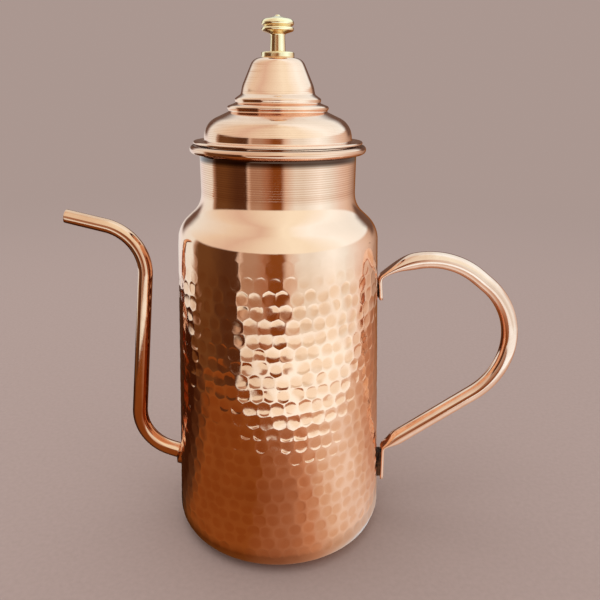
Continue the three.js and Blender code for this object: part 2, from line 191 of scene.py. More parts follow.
class LidSizes(bpy.types.PropertyGroup):
    """Sizes of the lid. Heights are above the face that rests on the rim."""

    sheet: length("Sheet", "Thickness of the lid's sheet", 0.7)
    over_rim: length("Flange over rim", "Flange beyond the middle of the rolled rim", 0.15)
    hem: length("Hem", "Width of the folded hem", 2.4)
    flange_corner: length("Flange corner", "Rounding at the dome's foot", 0.5)
    wall_inset: length("Wall inset", "Dome's foot inward of the plug ring", 0.95)
    dome_height: length("Dome height", "Height of the dome's corner", 8.5)
    dome_rounding: length("Dome rounding", "Rounding of the dome", 9.0)
    inner_bend: length("Inner bend", "Inner radius of the sharp bends", 0.3)
    hollow: length("Hollow", "Rounding of the hollow corners", 0.5)
    ridge_radius: length("Ridge radius", "Radius of the ridge", 22.7)
    ridge_foot: length("Ridge foot", "Radius under the ridge", 21.2)
    ridge_height: length("Ridge height", "Height of the ridge's foot", 13.6)
    ridge_rise: length("Ridge rise", "Rise of the ridge", 1.9)
    bead_radius: length("Bead radius", "Radius of the bead", 18.9)
    bead_foot: length("Bead foot", "Radius under the bead", 18.3)
    bead_height: length("Bead height", "Height of the bead's foot", 17.1)
    bead_rise: length("Bead rise", "Rise of the bead", 1.6)
    bell_radius: length("Bell radius", "Radius at the bell's foot", 16.1)
    bell_height: length("Bell height", "Height of the bell's foot", 20.6)
    bell_rounding: length("Bell rounding", "Rounding at the bell's foot", 1.2)
    belly_radius: length("Belly radius", "Radius at the bell's belly", 15.45)
    belly_height: length("Belly height", "Height of the bell's belly", 23.9)
    belly_rounding: length("Belly rounding", "Rounding of the bell's belly", 12.0)
    crown_radius: length("Crown radius", "Radius of the crown", 10.4)
    crown_height: length("Crown height", "Height of the crown", 35.2)
    crown_rounding: length("Crown rounding", "Rounding of the crown", 4.4)
    plug_clearance: length("Plug clearance", "Clearance of the plug ring in the neck", 0.5)
    plug_sheet: length("Plug sheet", "Thickness of the plug ring", 0.8)
    plug_depth: length("Plug depth", "Depth of the plug ring", 11.0)


class KnobSizes(bpy.types.PropertyGroup):
    """Sizes of the knob and what holds it."""

    foot_radius: length("Foot radius", "Radius of the column's foot", 3.3)
    top_radius: length("Top radius", "Radius of the column's top", 3.05)
    column: length("Column", "Height of the column", 7.1)
    column_rounding: length("Column rounding", "Rounding under the lower disc", 0.8)
    disc_radius: length("Disc radius", "Radius of both discs", 6.8)
    disc_edge: length("Disc edge", "Rounding of the discs", 0.8)
    lower_disc: length("Lower disc", "Height of the lower disc", 2.4)
    groove_radius: length("Groove radius", "Radius in the groove between the discs", 5.6)
    groove_height: length("Groove height", "Height of the groove", 1.1)
    upper_disc: length("Upper disc", "Height of the upper disc", 1.9)
    top_edge: length("Top edge", "Rounding of the upper disc's top", 1.6)
    crown: length("Crown", "Height of the knob's crown", 1.5)
    nipple_radius: length("Nipple radius", "Radius of the nipple", 1.0)
    nipple_height: length("Nipple height", "Height of the nipple", 0.45)
    washer_radius: length("Washer radius", "Radius of the seat washer", 7.0)
    washer: length("Washer", "Thickness of the seat washer", 2.2)
    screw_radius: length("Screw radius", "Radius of the screw", 1.5)
    screw_grip: length("Screw grip", "Length of the screw in the knob", 8.0)
    inner_washer_radius: length("Inner washer radius", "Radius of the washer in the lid", 5.0)
    inner_washer: length("Inner washer", "Thickness of the washer in the lid", 0.8)


class Finishes(bpy.types.PropertyGroup):
    """Colours of the metals and of the stage."""

    copper: colour("Copper", "Polished copper", (0.88, 0.53, 0.36))
    copper_wall: colour("Hammered copper", "Copper in the hammer marks", (0.81, 0.41, 0.23))
    copper_land: colour("Rubbed copper", "Copper between the hammer marks", (0.89, 0.51, 0.33))
    copper_tube: colour("Drawn copper", "Copper of the spout", (0.80, 0.45, 0.28))
    copper_handle: colour("Handle copper", "Paler copper of the handle", (0.86, 0.55, 0.40))
    copper_deep: colour("Deep copper", "Copper where it has darkened", (0.58, 0.24, 0.12))
    brass: colour("Brass", "Polished brass", (0.95, 0.71, 0.42))
    brass_deep: colour("Deep brass", "Brass where it has darkened", (0.62, 0.44, 0.18))
    # Painted shade: the near-black colour painted under the rolled rim and where the lid rests
    painted_rim_shade_colour: colour("Painted rim shade", "Copper that polish never reaches", (0.05, 0.018, 0.01))
    # Partly painted shade: near black, for dark solder and for the shade in the notches under the
    # handle's bends
    solder: colour("Solder", "Darkened solder", (0.012, 0.005, 0.003))
    solder_bright: colour("Bright solder", "Solder where it is rubbed bright", (0.30, 0.13, 0.06))
    steel: colour("Steel", "Plain steel", (0.58, 0.57, 0.55))
    floor: colour("Floor", "Floor", (0.31, 0.232, 0.208))
    backdrop: colour("Backdrop", "Backdrop behind the floor", (0.405, 0.31, 0.28))


class StageSizes(bpy.types.PropertyGroup):
    """Where the camera stands, and how wide the floor is and where it blends into the backdrop."""

    camera_x: length("Camera aside", "Camera to the right of the pot's axis", 10.2)
    camera_y: length("Camera distance", "Camera in front of the pot's axis", 274.0)
    camera_z: length("Camera height", "Camera above the floor", 209.6)
    camera_pitch: angle("Camera pitch", "Camera's look below the level", 18.78)
    camera_roll: angle("Camera roll", "Camera's turn about its view", 0.45)
    lens: number("Lens", "Focal length on a 36 mm sensor", 36.0, subtype="DISTANCE_CAMERA")
    floor_radius: length("Floor radius", "Radius of the floor", 4000.0)
    blend_near: length("Blend near", "Where the floor starts to blend with the backdrop", 420.0)
    blend_far: length("Blend far", "Where the floor has become the backdrop", 1300.0)


# Outlines


def round_corners(corners, sag=FINE_SAG):
    """A line of (x, y, rounding) corners with each corner rounded by an arc."""
    places = [Vector(corner[:2]) for corner in corners]
    roundings = [corner[2] if len(corner) > 2 else 0.0 for corner in corners]

    def turn_at(i):
        return (places[i] - places[i - 1]).angle(places[i + 1] - places[i])

    setbacks = [r * math.tan(turn_at(i) / 2) if r else 0.0 for i, r in enumerate(roundings)]

    def room(i):
        needed = setbacks[i] + setbacks[i + 1]
        return min(1.0, (places[i + 1] - places[i]).length / needed) if needed else 1.0

    points = []
    for i, rounding in enumerate(roundings):
        if not rounding:
            points.append(places[i])
            continue
        scale = min(room(i - 1), room(i))
        radius = rounding * scale
        back = (places[i - 1] - places[i]).normalized()
        ahead = (places[i + 1] - places[i]).normalized()
        side = math.copysign(1.0, back.x * ahead.y - back.y * ahead.x)
        start = places[i] + back * setbacks[i] * scale
        centre = start + Vector((-back.y, back.x)) * side * radius
        turn = turn_at(i)
        widest = 2 * math.acos(max(0.0, 1 - sag / radius))
        steps = max(2, math.ceil(turn / widest))
        for k in range(steps + 1):
            swing = Matrix.Rotation(-side * turn * k / steps, 2)
            points.append(centre + swing @ (start - centre))
    return drop_repeats(points)


def drop_repeats(points, apart=0.001 * MM):
    """The same line without points that lie on the one before."""
    kept = [points[0]]
    kept += [b for a, b in zip(points, points[1:]) if (b - a).length > apart]
    return kept


def arc(centre, radius, start, end, steps):
    """Points of an arc, angles in radians."""
    swings = [start + (end - start) * k / steps for k in range(steps + 1)]
    return [centre + radius * Vector((math.cos(a), math.sin(a))) for a in swings]


def beside(points, distance):
    """The line beside another, to its left when the distance is positive."""
    moved = []
    for i, point in enumerate(points):
        before = points[max(i - 1, 0)]
        after = points[min(i + 1, len(points) - 1)]
        into = (point - before).normalized()
        out = (after - point).normalized()
        along = (into + out).normalized()
        stretch = 1 / (along.dot(out) or 1.0)
        moved.append(point + Vector((-along.y, along.x)) * distance * stretch)
    return moved


def resample(points, pitch):
    """The same line with extra points so that no step is longer than the pitch."""
    dense = [points[0]]
    for a, b in zip(points, points[1:]):
        parts = max(1, math.ceil((b - a).length / pitch))
        dense += [a.lerp(b, k / parts) for k in range(1, parts + 1)]
    return dense


def rectangle(inner, outer, bottom, top, edge):
    """The closed outline of a ring with rounded outer corners."""
    corners = [(inner, bottom), (outer, bottom, edge), (outer, top, edge), (inner, top)]
    return round_corners(corners)


# Meshes


def in_order(items):
    """The items without repeats, always in the same order."""
    return list(dict.fromkeys(items))


def draw_line(bm, points, closed=False):
    """Vertices and edges of a line of (radius, height) points in the XZ plane."""
    verts = [bm.verts.new((p[0], 0.0, p[1])) for p in points]
    pairs = list(zip(verts, verts[1:]))
    if closed:
        pairs.append((verts[-1], verts[0]))
    return verts, [bm.edges.new(pair) for pair in pairs]


def spin_line(bm, points, segments, closed=False, sectors=6):
    """Turns a line about Z, sector by sector, and merges what meets."""
    before = set(bm.verts)
    verts, edges = draw_line(bm, points, closed)
    turned = bmesh.ops.spin(
        bm,
        geom=verts + edges,
        cent=(0, 0, 0),
        axis=(0, 0, 1),
        angle=TURN / sectors,
        steps=segments // sectors,
    )["geom_last"]
    ends = [v.co for v in turned if isinstance(v, bmesh.types.BMVert)]
    widest = max(ends, key=lambda place: math.hypot(place.x, place.y))
    way = math.copysign(1.0, widest.y)
    sector = [v for v in bm.verts if v not in before]
    faces = in_order(face for vert in sector for face in vert.link_faces)
    for k in range(1, sectors):
        made = bmesh.ops.duplicate(bm, geom=faces)["geom"]
        moved = [v for v in made if isinstance(v, bmesh.types.BMVert)]
        swing = Matrix.Rotation(way * TURN * k / sectors, 3, "Z")
        bmesh.ops.rotate(bm, cent=(0, 0, 0), matrix=swing, verts=moved)
        sector += moved
    bmesh.ops.remove_doubles(bm, verts=sector, dist=MM * 0.001)


def sweep(bm, stations, section_at):
    """A tube skin along stations of (place, heading, distance) in the XZ plane."""

    def fitted(station):
        place, heading, distance = station
        ring = section_at(distance)
        across = Vector((-math.sin(heading), 0, math.cos(heading)))
        origin = Vector((place.x, 0, place.y))
        return [origin + across * x + Vector((0, y, 0)) for x, y in ring]

    first = fitted(stations[0])
    ring = [bm.verts.new(p) for p in first]
    edges = [bm.edges.new((a, b)) for a, b in zip(ring, ring[1:] + ring[:1])]
    start = edges
    for station in stations[1:]:
        made = bmesh.ops.extrude_edge_only(bm, edges=edges)["geom"]
        fresh = {v for v in made if isinstance(v, bmesh.types.BMVert)}
        ring = [
            next(e.other_vert(v) for e in v.link_edges if e.other_vert(v) in fresh) for v in ring
        ]
        for vert, place in zip(ring, fitted(station)):
            vert.co = place
        edges = [
            e for e in made if isinstance(e, bmesh.types.BMEdge) and fresh.issuperset(e.verts)
        ]
    return start, edges


def walk(points, pitch):
    """Stations along a line: place, heading and distance from its start."""
    dense = resample(points, pitch)
    distance = 0.0
    stations = []
    for i, place in enumerate(dense):
        before = dense[max(i - 1, 0)]
        after = dense[min(i + 1, len(dense) - 1)]
        distance += (place - before).length
        way = after - before
        stations.append((place, math.atan2(way.y, way.x), distance))
    return stations


def pressed_ring(radius, half_thickness, shrink, sides):
    """A tube's section pressed flat: two flats joined by half rounds, its girth kept."""
    half_flat = math.pi / 2 * (radius - half_thickness)
    ring = []
    for k in range(sides):
        swing = (k + 0.5) * TURN / sides
        reach = half_thickness - shrink
        flat = math.copysign(half_flat, math.sin(swing))
        ring.append((reach * math.cos(swing), flat + reach * math.sin(swing)))
    return ring


def tube(bm, stations, outer_at, inner_at):
    """A tube with a real bore, its ends closed between the two skins."""
    outer_ends = sweep(bm, stations, outer_at)
    inner_ends = sweep(bm, stations, inner_at)
    for outer, inner in zip(outer_ends, inner_ends):
        bmesh.ops.bridge_loops(bm, edges=list(outer) + list(inner))


def smooth_step(value, low, high):
    """From 0 at the low value to 1 at the high one, with soft ends."""
    t = min(1.0, max(0.0, (value - low) / (high - low)))
    return t * t * (3 - 2 * t)


def mix(a, b, t):
    return a + (b - a) * t


def make_piece(bm, name, body, finish, node):
    """Turns a bmesh into a finished piece that rides a body and stands for a node."""
    bmesh.ops.recalc_face_normals(bm, faces=bm.faces)
    mesh = bpy.data.meshes.new(name)
    bm.to_mesh(mesh)
    bm.free()
    mesh.shade_smooth()
    mesh.materials.append(materials()[finish])
    piece = bpy.data.objects.new(name, mesh)
    bpy.context.scene.collection.objects.link(piece)
    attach(piece, body)
    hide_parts(node)


def turn_piece(outline, steps, name, body, slot, finish, node, closed=True):
    """A piece turned about the pot's axis from its outline."""
    bm = bmesh.new()
    spin_line(bm, outline, steps, closed)
    make_piece(bm, name, body, finish, node)


def finish_node(node, finish):
    """A carried-over solid of the frame gets its finish."""
    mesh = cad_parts[node].data
    mesh.materials.clear()
    mesh.materials.append(materials()[finish])


# Shared sizes


def settings():
    return bpy.context.scene.oil_pot


def wall_lean(pot):
    """Angle by which the wall leans inward."""
    return math.atan((pot.base_radius - pot.shoulder_radius) / pot.shoulder_height)


def wall_radius(pot, height):
    return pot.base_radius - height * math.tan(wall_lean(pot))


def neck_foot(pot):
    return pot.shoulder_height + pot.shoulder_rise


def roll_hollow(pot):
    """Radius of the hollow that the rim's sheet rolls round."""
    return pot.rim_wire + pot.fit_gap


def roll_centre(pot):
    return Vector(
        (
            pot.neck_radius + pot.rim_flare + roll_hollow(pot),
            neck_foot(pot) + pot.neck_length + pot.rim_flare + pot.rim_rise,
        )
    )


def lid_seat(pot):
    """Height of the lid's face that rests on the rim."""
    return roll_centre(pot).y + roll_hollow(pot) + pot.sheet + pot.fit_gap


def plug_outer(pot, lid):
    return pot.neck_radius - pot.sheet - lid.plug_clearance


def crown_top(pot, lid):
    return lid_seat(pot) + lid.crown_height


# Materials


def fill(node, values):
    """Sets a node's inputs, or links them where the value is a socket."""
    for key, value in values.items():
        if isinstance(value, bpy.types.NodeSocket):
            node.id_data.links.new(value, node.inputs[key])
        else:
            node.inputs[key].default_value = value
    return node


def add_node(tree, kind, values=None, **fixed):
    """A node with its settings, and its inputs set or linked."""
    made = tree.nodes.new(kind)
    for key, value in fixed.items():
        setattr(made, key, value)
    return fill(made, values or {})


def math_node(tree, operation, *values):
    made = add_node(tree, "ShaderNodeMath", dict(enumerate(values)), operation=operation)
    return made.outputs[0]


def times(tree, a, b):
    return math_node(tree, "MULTIPLY", a, b)


def plus(tree, a, b):
    return math_node(tree, "ADD", a, b)


def map_value(tree, value, low, high, to_low=0.0, to_high=1.0, smooth=False):
    """A value carried from one range to another and held inside it."""
    values = {"Value": value, "From Min": low, "From Max": high}
    values |= {"To Min": to_low, "To Max": to_high}
    way = "SMOOTHSTEP" if smooth else "LINEAR"
    made = add_node(tree, "ShaderNodeMapRange", values, interpolation_type=way)
    return made.outputs["Result"]


def mix_colours(tree, mask, a, b, blend="MIX"):
    values = {0: mask, 6: a, 7: b}
    made = add_node(tree, "ShaderNodeMix", values, data_type="RGBA", blend_type=blend)
    return made.outputs[2]


def noise_value(tree, vector, scale, detail, roughness=0.5, distortion=0.0):
    values = {"Vector": vector, "Scale": scale, "Detail": detail}
    values |= {"Roughness": roughness, "Distortion": distortion}
    return add_node(tree, "ShaderNodeTexNoise", values).outputs["Fac"]


def split(tree, vector):
    return add_node(tree, "ShaderNodeSeparateXYZ", {0: vector}).outputs


def join(tree, x=0.0, y=0.0, z=0.0):
    return add_node(tree, "ShaderNodeCombineXYZ", {0: x, 1: y, 2: z}).outputs[0]


def size_of(tree, vector):
    return add_node(tree, "ShaderNodeVectorMath", {0: vector}, operation="LENGTH").outputs["Value"]


def bump(tree, height, strength, distance):
    values = {"Height": height, "Strength": strength, "Distance": distance}
    return add_node(tree, "ShaderNodeBump", values).outputs[0]


def solid(rgb):
    return (*rgb, 1.0)


def new_group(name, inputs, outputs):
    """A group that takes a vector and numbers, and its nodes for what comes in and goes out."""
    group = bpy.data.node_groups.new(name, "ShaderNodeTree")
    group.interface.new_socket(name="Vector", in_out="INPUT", socket_type="NodeSocketVector")
    for label, value in inputs.items():
        kind = {"in_out": "INPUT", "socket_type": "NodeSocketFloat"}
        group.interface.new_socket(name=label, **kind).default_value = value
    for label in outputs:
        group.interface.new_socket(name=label, in_out="OUTPUT", socket_type="NodeSocketFloat")
    given = group.nodes.new("NodeGroupInput").outputs
    return group, given, group.nodes.new("NodeGroupOutput")


def handling_marks():
    """Soft clouds of darkening and finer smears, as masks from 0 to 1."""
    name = "Handling marks"
    if name in bpy.data.node_groups:
        return bpy.data.node_groups[name]
    group, given, result = new_group(name, {"Size": 0.03, "Smear": 0.4}, ["Clouds", "Grain"])
    scale = math_node(group, "DIVIDE", 1.0, given["Size"])
    clouds = noise_value(group, given["Vector"], scale, 5.0, 0.6, given["Smear"])
    grain = noise_value(group, given["Vector"], times(group, scale, 14.0), 3.0, 0.7)
    masks = {
        "Clouds": map_value(group, clouds, 0.38, 0.68, smooth=True),
        "Grain": map_value(group, grain, 0.3, 0.7),
    }
    fill(result, masks)
    return group


def turned_lines():
    """Fine lines left by turning about Z, as a height from 0 to 1."""
    name = "Turned lines"
    if name in bpy.data.node_groups:
        return bpy.data.node_groups[name]
    group, given, result = new_group(name, {"Pitch": 0.6 * MM, "Wander": 0.5}, ["Height"])
    parts = split(group, given["Vector"])
    square = plus(group, times(group, parts["X"], parts["X"]), times(group, parts["Y"], parts["Y"]))
    along = math_node(group, "SUBTRACT", parts["Z"], math_node(group, "SQRT", square))
    scale = math_node(group, "DIVIDE", 0.25, given["Pitch"])
    drift = noise_value(group, join(group, z=along), scale, 4.0, 0.75)
    turns = times(group, math_node(group, "DIVIDE", along, given["Pitch"]), TURN)
    wave = math_node(group, "SINE", plus(group, turns, times(group, drift, 9.0)))
    values = {0: given["Wander"], 2: map_value(group, wave, -1.0, 1.0), 3: drift}
    blended = add_node(group, "ShaderNodeMix", values, data_type="FLOAT").outputs[0]
    fill(result, {"Height": blended})
    return group


def use_group(tree, group, values):
    return add_node(tree, "ShaderNodeGroup", values, node_tree=group).outputs


def new_material(name):
    """A new material, its node tree, its shader and the object's coordinates."""
    material = bpy.data.materials.new(name)
    material.use_nodes = True
    tree = material.node_tree
    shader = next(n for n in tree.nodes if n.type == "BSDF_PRINCIPLED")
    coords = tree.nodes.new("ShaderNodeTexCoord").outputs["Object"]
    return material, tree, shader, coords


def polished_metal(name, bright, deep, marks, roughness, lines=None, darkening=0.5, streaks=0.0):
    """A polished metal, darkened in clouds, with lines of a pitch, wander and strength."""
    if name in bpy.data.materials:
        return bpy.data.materials[name]
    material, tree, shader, coords = new_material(name)
    worn = use_group(tree, handling_marks(), {"Vector": coords, "Size": marks, "Smear": 0.5})
    mask = times(tree, worn["Clouds"], darkening)
    height, strength, distance = worn["Grain"], 0.03, 0.02 * MM
    if lines:
        pitch, wander, strength = lines
        distance = 0.05 * MM
        values = {"Vector": coords, "Pitch": pitch, "Wander": wander}
        height = use_group(tree, turned_lines(), values)["Height"]
        dark = map_value(tree, height, 0.47, 0.34, 0.0, streaks)
        patches = map_value(tree, worn["Clouds"], 0.0, 0.7, 0.15, 1.0)
        mask = plus(tree, mask, times(tree, dark, patches))
    look = {
        "Base Color": mix_colours(tree, mask, solid(bright), solid(deep)),
        "Roughness": map_value(tree, worn["Grain"], 0.0, 1.0, *roughness),
        "Metallic": 1.0,
        "Normal": bump(tree, height, strength, distance),
    }
    fill(shader, look)
    return material


def rim_painted_shade(tree, coords, pot):
    """Painted shade: under the rolled rim, and on top where the lid rests."""
    parts = split(tree, coords)
    radius = size_of(tree, join(tree, parts["X"], parts["Y"]))
    neck = pot.neck_radius
    neck_top = neck_foot(pot) + pot.neck_length
    risen = map_value(tree, parts["Z"], neck_top - 3.6 * MM, neck_top - 1.2 * MM, smooth=True)
    still_low = map_value(tree, parts["Z"], neck_top + 2.2 * MM, neck_top + 1.2 * MM)
    beside_neck = map_value(tree, radius, neck + 0.8 * MM, neck + 1.5 * MM, 1.0, 0.0)
    outside = map_value(tree, radius, neck - 0.5 * MM, neck - 0.2 * MM)
    under = times(tree, times(tree, risen, still_low), times(tree, beside_neck, outside))
    rest = lid_seat(pot) - pot.fit_gap
    top = map_value(tree, parts["Z"], rest - 0.35 * MM, rest - 0.15 * MM)
    return math_node(tree, "MAXIMUM", times(tree, under, 0.94), times(tree, top, 0.88))


def hammered_copper(finishes, pot):
    """Copper whose marks are deeper in colour than the rubbed sheet between them, with shade
    painted under the rolled rim and where the lid rests.
    """
    name = "hammered copper"
    if name in bpy.data.materials:
        return bpy.data.materials[name]
    material, tree, shader, coords = new_material(name)
    worn = use_group(tree, handling_marks(), {"Vector": coords, "Size": 0.028, "Smear": 0.6})
    lines = use_group(tree, turned_lines(), {"Vector": coords, "Pitch": 0.9 * MM, "Wander": 0.65})
    pressed = add_node(tree, "ShaderNodeAttribute", attribute_name="pressed").outputs["Fac"]
    height = split(tree, coords)["Z"]
    wall_top = pot.shoulder_height
    smooth = map_value(tree, height, wall_top - 16 * MM, wall_top - 4 * MM, smooth=True)
    hollow = map_value(tree, pressed, 0.1, 1.0, smooth=True)
    wall = mix_colours(tree, hollow, solid(finishes.copper_land), solid(finishes.copper_wall))
    base = mix_colours(tree, smooth, wall, solid(finishes.copper))
    cloudy = times(tree, worn["Clouds"], map_value(tree, smooth, 0.0, 1.0, 0.3, 0.08))
    neck = map_value(tree, height, pot.groove_foot - 2 * MM, pot.groove_foot + 1 * MM, smooth=True)
    turned = times(tree, neck, map_value(tree, lines["Height"], 0.35, 0.75, 0.55, 0.0))
    base = mix_colours(tree, plus(tree, cloudy, turned), base, solid(finishes.copper_deep))
    low = map_value(tree, smooth, 0.0, 1.0, 0.06, 0.05)
    coarse = map_value(tree, height, 17 * MM, 6 * MM, 1.0, 7.0, smooth=True)
    grain = times(tree, worn["Grain"], coarse)
    # Painted shade: near black under the rolled rim and on the rim's top under the lid
    painted_rim_shade_mask = rim_painted_shade(tree, coords, pot)
    look = {
        "Base Color": mix_colours(tree, painted_rim_shade_mask, base, solid(finishes.painted_rim_shade_colour)),
        "Roughness": plus(tree, low, times(tree, worn["Grain"], 0.05)),
        "Metallic": 1.0,
        "Normal": bump(tree, grain, 0.05, 0.03 * MM),
    }
    fill(shader, look)
    return material


def soft_solder(finishes):
    """Solder painted near black, partly its own dark colour and partly painted shade in the notches
    under the handle's bends, with patches that are rubbed bright.
    """
    name = "soft solder"
    if name in bpy.data.materials:
        return bpy.data.materials[name]
    material, tree, shader, coords = new_material(name)
    worn = use_group(tree, handling_marks(), {"Vector": coords, "Size": 0.004, "Smear": 1.0})
    mask = times(tree, worn["Clouds"], 0.4)
    look = {
        "Base Color": mix_colours(
            tree, mask, solid(finishes.solder), solid(finishes.solder_bright)
        ),
        "Roughness": map_value(tree, worn["Grain"], 0.0, 1.0, 0.35, 0.62),
        "Metallic": 0.3,
        "Specular IOR Level": 0.08,
        "Normal": bump(tree, worn["Grain"], 0.35, 0.12 * MM),
    }
    fill(shader, look)
    return material


def materials():
    """Every finish of the object, by the piece that it belongs to."""
    finishes = settings().finishes
    copper = (finishes.copper, finishes.copper_deep)
    golden = (finishes.copper_tube, finishes.copper_deep)
    pale = (finishes.copper_handle, finishes.copper_deep)
    brass = (finishes.brass, finishes.brass_deep)
    steel = (finishes.steel, [c * 0.6 for c in finishes.steel])
    drawn = {"marks": 0.02, "roughness": (0.07, 0.13), "darkening": 0.35}
    spun = {
        "marks": 0.03,
        "roughness": (0.07, 0.13),
        "lines": (0.9 * MM, 0.8, 0.4),
        "darkening": 0.15,
        "streaks": 0.85,
    }
    turned = {
        "marks": 0.006,
        "roughness": (0.17, 0.23),
        "lines": (0.4 * MM, 0.7, 0.02),
        "darkening": 0.15,
        "streaks": 0.1,
    }
    plain = {"marks": 0.008, "roughness": (0.25, 0.4), "lines": (0.4 * MM, 0.5, 0.2)}
    return {
        "wall": hammered_copper(finishes, settings().pot),
        "lid": polished_metal("spun copper", *copper, **spun),
        "spout": polished_metal("drawn copper", *golden, **drawn),
        "handle": polished_metal("bent copper", *pale, **drawn),
        "brass": polished_metal("turned brass", *brass, **turned),
        "steel": polished_metal("plain steel", *steel, **plain),
        "solder": soft_solder(finishes),
    }


# Operators


def body_outline(pot, sag=FINE_SAG):
    """The outer line of the body, from the middle of the base to the rolled edge."""
    neck_top = neck_foot(pot) + pot.neck_length
    centre = roll_centre(pot)
    flare = pot.rim_flare_rounding
    line = round_corners(
        [
            (0.0, 0.0),
            (pot.base_radius, 0.0, pot.base_edge),
            (pot.shoulder_radius, pot.shoulder_height, pot.shoulder_rounding),
            (pot.neck_radius, neck_foot(pot), pot.neck_rounding),
            (pot.neck_radius, neck_top, flare),
            (pot.neck_radius + pot.rim_flare, neck_top + pot.rim_flare, flare),
            (pot.neck_radius + pot.rim_flare, centre.y),
        ],
        sag,
    )[:-1]
    roll = arc(centre, roll_hollow(pot), math.pi, math.pi - pot.rim_turn, 12)
    return line + roll


def cut_grooves(pot, line):
    """The neck's line with its turned grooves."""
    lines = round((pot.groove_top - pot.groove_foot) / pot.groove_pitch)
    top = pot.groove_foot + lines * pot.groove_pitch
    below = [p for p in line if p.y < pot.groove_foot]
    above = [p for p in line if p.y > top]
    steps = 3 * lines
    grooved = []
    for k in range(steps + 1):
        height = mix(pot.groove_foot, top, k / steps)
        depth = pot.groove_depth * (1 - math.cos(TURN * k / 3)) / 2
        grooved.append(Vector((pot.neck_radius - depth, height)))
    return below + grooved + above


def radius_on(outline, height):
    """Radius of an outline at a height; the outline only rises."""
    i = min(max(bisect_left(outline, height, key=lambda p: p.y), 1), len(outline) - 1)
    a, b = outline[i - 1], outline[i]
    return mix(a.x, b.x, (height - a.y) / (b.y - a.y))


class HammeredWall:
    """Places on the unrolled wall, as (distance round it, height), and the marks there."""

    TOP_STRENGTH = 0.25
    FOOT_STRENGTH = 0.55
    RADIUS_SPREAD = (0.9, 1.06)
    DEPTH_SPREAD = (0.85, 1.15)
    PULL = 0.3  # how far a cell's corner lies towards the middle of its three marks
    CELL_FILL = 0.965  # how far a mark may reach towards its cell's corners
    RINGS = (1.0, 0.87, 0.6)  # rings of vertices in a mark, as shares of its radius

    def __init__(self, pot, hammer, outline, layer):
        self.hammer = hammer
        self.outline = outline
        self.layer = layer
        self.mean = (pot.base_radius + pot.shoulder_radius) / 2
        self.cell = TURN * self.mean / hammer.marks
        rng = random.Random(hammer.seed)
        self.marks = {}
        for row in range(-1, hammer.rows + 1):
            for k in range(hammer.marks):
                self.marks[row, k] = self.new_mark(row, k, rng)
        inside = [m for (row, _), m in self.marks.items() if 0 <= row < hammer.rows]
        self.struck = [
            (Vector((place.x + turn, place.y, 0)), *shape)
            for place, *shape in inside
            for turn in (-TURN * self.mean, 0.0, TURN * self.mean)
        ]
        self.near = KDTree(len(self.struck))
        for i, mark in enumerate(self.struck):
            self.near.insert(mark[0], i)
        self.near.balance()

    def new_mark(self, row, k, rng):
        """Place, radius, depth and lean of the mark in a row's k-th cell."""
        hammer = self.hammer
        shift = hammer.turn_shift * (row // 2) + hammer.pair_shift * (row % 2)
        around = (k + shift) * self.cell
        height = hammer.lowest + row * hammer.row_pitch
        height += hammer.tilt * self.mean * math.cos(around / self.mean)
        top = hammer.lowest + (hammer.rows - 1) * hammer.row_pitch
        strength = mix(self.TOP_STRENGTH, 1.0, smooth_step(top - height, 0.0, hammer.fade))
        risen = smooth_step(height - hammer.lowest, 0.0, hammer.foot_fade)
        strength *= mix(self.FOOT_STRENGTH, 1.0, risen)
        stray = [rng.gauss(0, hammer.scatter) for _ in range(2)]
        place = Vector((around + stray[0], height + stray[1]))
        radius = hammer.radius * rng.uniform(*self.RADIUS_SPREAD)
        depth = hammer.depth * rng.uniform(*self.DEPTH_SPREAD) * strength
        lean = Vector((rng.gauss(0, hammer.wobble), rng.gauss(0, hammer.wobble), 0)) * strength
        return place, radius, depth, lean

    def mark(self, row, column):
        """The mark whose cell is centred on a column of half cells."""
        half = column - 1 - row % 2
        turns, k = divmod(half // 2, self.hammer.marks)
        place, *shape = self.marks[row, k]
        return (place + Vector((turns * TURN * self.mean, 0)), *shape)

    def corner(self, column, ring):
        """Where the cells round a vertex of the brick bond meet."""
        centres = []
        for row in (ring - 1, ring):
            sides = (column - 1, column + 1) if (column + row) % 2 == 0 else (column,)
            centres += [self.mark(row, side)[0] for side in sides]
        a, b, c = centres
        across, aside = b - a, c - a
        twice = 2 * across.cross(aside)
        x = (aside.y * across.length_squared - across.y * aside.length_squared) / twice
        y = (across.x * aside.length_squared - aside.x * across.length_squared) / twice
        return (a + Vector((x, y))).lerp((a + b + c) / 3, self.PULL)

    def pressed(self, place):
        """How deep the wall is pressed at a place."""
        deepest = 0.0
        spot = Vector((place.x, place.y, 0))
        for centre, i, away in self.near.find_n(spot, 3):
            _, radius, depth, lean = self.struck[i]
            if away < radius:
                share_out = away / radius
                dish = depth * (1 - share_out**self.hammer.dish)
                tilted = lean.dot(spot - centre) * (1 - share_out**2)
                deepest = max(deepest, dish + tilted)
        return deepest

    def put(self, vert, place):
        """Moves a vertex to its place on the wall, pressed in by the marks."""
        sunk = self.pressed(place)
        vert.co = self.on_wall(place, sunk)
        vert[self.layer] = min(1.0, sunk / self.hammer.depth)

    def on_wall(self, place, sunk=0.0):
        reach = radius_on(self.outline, place.y) - sunk
        swing = place.x / self.mean
        return Vector((reach * math.cos(swing), reach * math.sin(swing), place.y))


